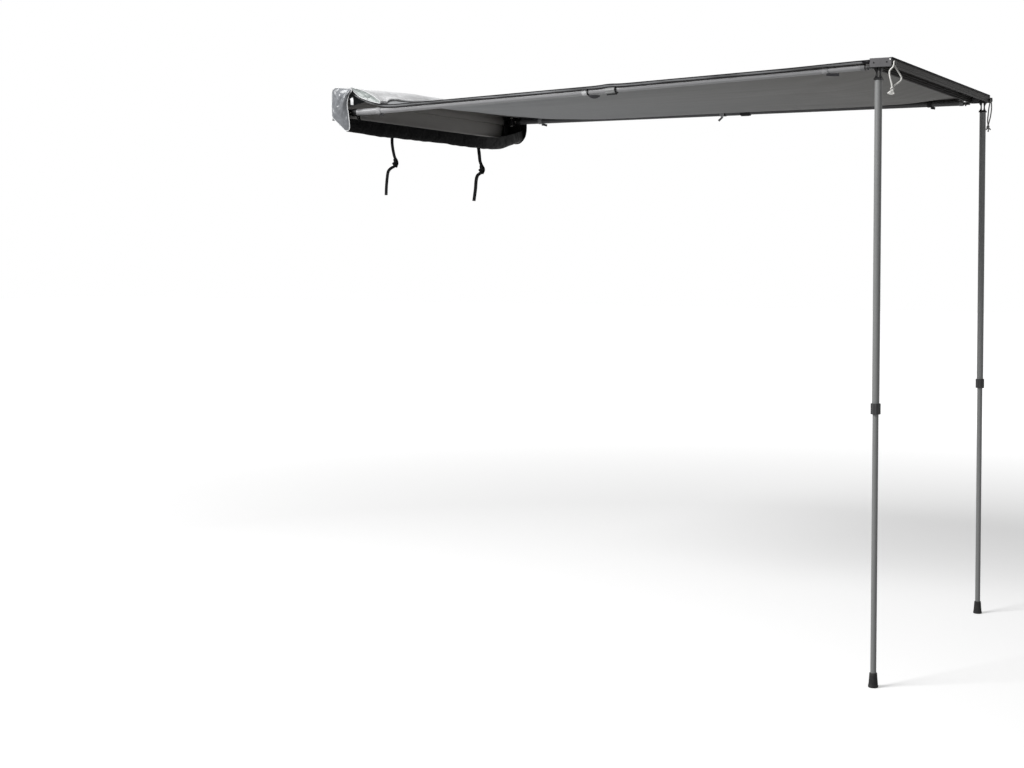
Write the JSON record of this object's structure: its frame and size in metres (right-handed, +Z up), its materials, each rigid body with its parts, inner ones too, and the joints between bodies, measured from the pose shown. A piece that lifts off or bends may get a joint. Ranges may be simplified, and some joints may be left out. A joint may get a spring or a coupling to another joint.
{
  "type": "vehicle side awning",
  "caption": "Pull-out side awning: open rail with cover bag, fabric canopy, telescopic swing arms and a leading rail with folding telescopic legs.",
  "frame": {"origin": "middle of the back rail's rear face, which bears on the roof rack's brackets", "axes": "+Y points into the vehicle, out of the back rail's rear face; +Z is up; X runs along the rails, with the front end at -X"},
  "size_m": [1.4206, 2.2569, 2.1137],
  "materials": {
    "aluminium": "anodised extrusion",
    "aluminium_tube": "drawn tube, satin",
    "grey_steel": "satin grey",
    "black_steel": "satin black powder coat",
    "zinc_steel": "zinc plated",
    "black_plastic": "fine texture",
    "grey_plastic": "fine texture",
    "white_plastic": "natural",
    "rubber": "matt",
    "canvas": "woven, coated",
    "coated_cloth": "coated, semi-gloss",
    "webbing": "woven webbing",
    "rope": "braided"
  },
  "bodies": {
    "case": {"back_rail": "aluminium", "front_rail_cap": "black_plastic", "rear_rail_cap": "black_plastic", "front_arm_bracket": "black_steel", "rear_arm_bracket": "black_steel", "front_swing_pin": "zinc_steel", "rear_swing_pin": "zinc_steel", "bag_pouch": "coated_cloth", "bag_lid": "coated_cloth", "front_strap": "webbing", "rear_strap": "webbing", "canopy": "canvas"},
    "leading_rail": {"leading_rail": "aluminium", "front_end_plate": "grey_plastic", "rear_end_plate": "grey_plastic", "front_rope_eye": "black_plastic", "rear_rope_eye": "black_plastic", "front_rope": "rope", "rear_rope": "rope", "front_rope_knot": "rope", "rear_rope_knot": "rope", "front_arm_catch": "grey_steel", "rear_arm_catch": "grey_steel", "front_leg_hanger": "black_plastic", "rear_leg_hanger": "black_plastic", "front_fold_pin": "zinc_steel", "rear_fold_pin": "zinc_steel"},
    "front_knuckle": {"front_knuckle": "black_plastic", "front_tilt_pin": "zinc_steel"},
    "front_arm": {"front_arm_plug": "black_plastic", "front_arm_tube": "aluminium_tube", "front_inner_tie": "webbing"},
    "rear_arm": {"rear_knuckle": "black_plastic", "rear_tilt_pin": "zinc_steel", "rear_arm_plug": "black_plastic", "rear_arm_tube": "aluminium_tube", "rear_inner_tie": "webbing"},
    "front_arm_lock": {"front_arm_lock": "black_plastic"},
    "front_arm_slide": {"front_arm_slide_tube": "aluminium_tube", "front_arm_bush": "white_plastic", "front_arm_tip": "black_plastic", "front_outer_tie": "webbing"},
    "front_leg": {"front_leg_head": "black_plastic", "front_leg_tube": "aluminium_tube"},
    "front_leg_lock": {"front_leg_lock": "black_plastic"},
    "front_leg_lower": {"front_leg_slide_tube": "aluminium_tube", "front_leg_bush": "white_plastic", "front_foot": "rubber"},
    "rear_arm_lock": {"rear_arm_lock": "black_plastic"},
    "rear_arm_slide": {"rear_arm_slide_tube": "aluminium_tube", "rear_arm_bush": "white_plastic", "rear_arm_tip": "black_plastic", "rear_outer_tie": "webbing"},
    "rear_leg": {"rear_leg_head": "black_plastic", "rear_leg_tube": "aluminium_tube"},
    "rear_leg_lock": {"rear_leg_lock": "black_plastic"},
    "rear_leg_lower": {"rear_leg_slide_tube": "aluminium_tube", "rear_leg_bush": "white_plastic", "rear_foot": "rubber"}
  },
  "joints": [
    {"name": "rail_travel", "type": "slide", "parent": "case", "child": "leading_rail", "axis": [0, 1, 0], "range_m": [0, 0.76], "deforming": ["canopy"]},
    {"name": "front_arm_swing", "type": "hinge", "parent": "case", "child": "front_knuckle", "pos_m": [-0.67, -0.045, -0.033], "axis": [0.021, 0.0124, 0.9997], "range_deg": [0, 85]},
    {"name": "front_arm_tilt", "type": "hinge", "parent": "front_knuckle", "child": "front_arm", "pos_m": [-0.67, -0.073, -0.03265], "axis": [-0.9998, 0.0003, 0.021], "range_deg": [0, 1.14]},
    {"name": "front_arm_extend", "type": "slide", "parent": "front_arm", "child": "front_arm_slide", "axis": [0, 0.9994, -0.0337], "range_m": [0, 0.76]},
    {"name": "front_arm_lock_twist", "type": "hinge", "parent": "front_arm", "child": "front_arm_lock", "pos_m": [-0.67, -0.073, -0.03265], "axis": [0, -0.9994, 0.0337], "range_deg": [0, 90]},
    {"name": "rear_arm_swing", "type": "hinge", "parent": "case", "child": "rear_arm", "pos_m": [0.67, -0.045, 0.0315], "axis": [-0.021, -0.021, -0.9996], "range_deg": [0, 85]},
    {"name": "rear_arm_extend", "type": "slide", "parent": "rear_arm", "child": "rear_arm_slide", "axis": [0, 1, 0.0003], "range_m": [0, 0.76]},
    {"name": "rear_arm_lock_twist", "type": "hinge", "parent": "rear_arm", "child": "rear_arm_lock", "pos_m": [0.67, -0.07299, 0.03209], "axis": [0, -1, -0.0003], "range_deg": [0, 90]},
    {"name": "front_leg_fold", "type": "hinge", "parent": "leading_rail", "child": "front_leg", "pos_m": [-0.67, -2.177, 0.04], "axis": [0, -1, 0], "range_deg": [0, 89]},
    {"name": "front_leg_extend", "type": "slide", "parent": "front_leg", "child": "front_leg_lower", "axis": [0, 0, 1], "range_m": [0, 0.85]},
    {"name": "front_leg_lock_twist", "type": "hinge", "parent": "front_leg", "child": "front_leg_lock", "pos_m": [-0.67, -2.177, -1.1033], "axis": [0, 0, -1], "range_deg": [0, 90]},
    {"name": "rear_leg_fold", "type": "hinge", "parent": "leading_rail", "child": "rear_leg", "pos_m": [0.67, -2.209, 0.04], "axis": [0, 1, 0], "range_deg": [0, 89]},
    {"name": "rear_leg_extend", "type": "slide", "parent": "rear_leg", "child": "rear_leg_lower", "axis": [0, 0, 1], "range_m": [0, 0.85]},
    {"name": "rear_leg_lock_twist", "type": "hinge", "parent": "rear_leg", "child": "rear_leg_lock", "pos_m": [0.67, -2.209, -1.1033], "axis": [0, 0, -1], "range_deg": [0, 90]}
  ],
  "couplings": [
    {"joint": "front_arm_extend", "follows": "rail_travel", "ratio": 0.9991},
    {"joint": "rear_arm_extend", "follows": "rail_travel", "ratio": 1},
    {"joint": "front_arm_tilt", "follows": "rail_travel", "rad_per_m": 0.02571}
  ]
}
